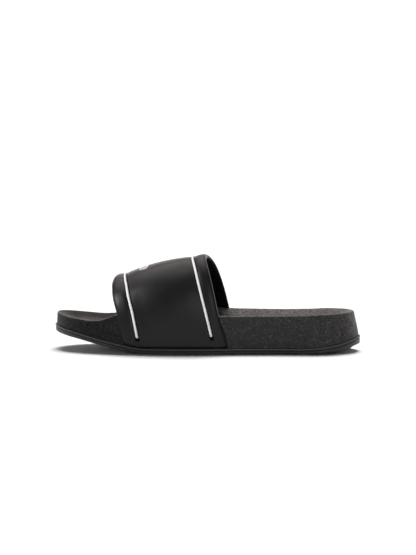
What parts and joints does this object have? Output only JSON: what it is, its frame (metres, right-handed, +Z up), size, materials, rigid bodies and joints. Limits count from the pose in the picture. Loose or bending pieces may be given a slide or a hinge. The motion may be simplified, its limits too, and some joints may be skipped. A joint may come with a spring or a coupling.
{
  "type": "sport slide sandal",
  "caption": "Left slide sandal: moulded foam footbed on a banded outsole, with one wide padded strap edged by light piping.",
  "frame": {"origin": "middle of the bounding box, on the floor under the sole", "axes": "+Z up, toe along -X, outer (lateral) side along -Y"},
  "size_m": [0.28, 0.1076, 0.0871],
  "materials": {
    "outsole": "moulded charcoal sole rubber, satin",
    "footbed": "charcoal moulded foam with a wrinkled grain",
    "strap": "charcoal padded synthetic leather over a black textile lining",
    "piping": "off-white moulded cord",
    "crest_bar": "plain off-white inlay"
  },
  "bodies": {
    "root": {"outsole": "outsole", "footbed": "footbed", "strap": "strap", "piping_front": "piping", "piping_rear": "piping", "crest_bar": "crest_bar"}
  },
  "joints": []
}
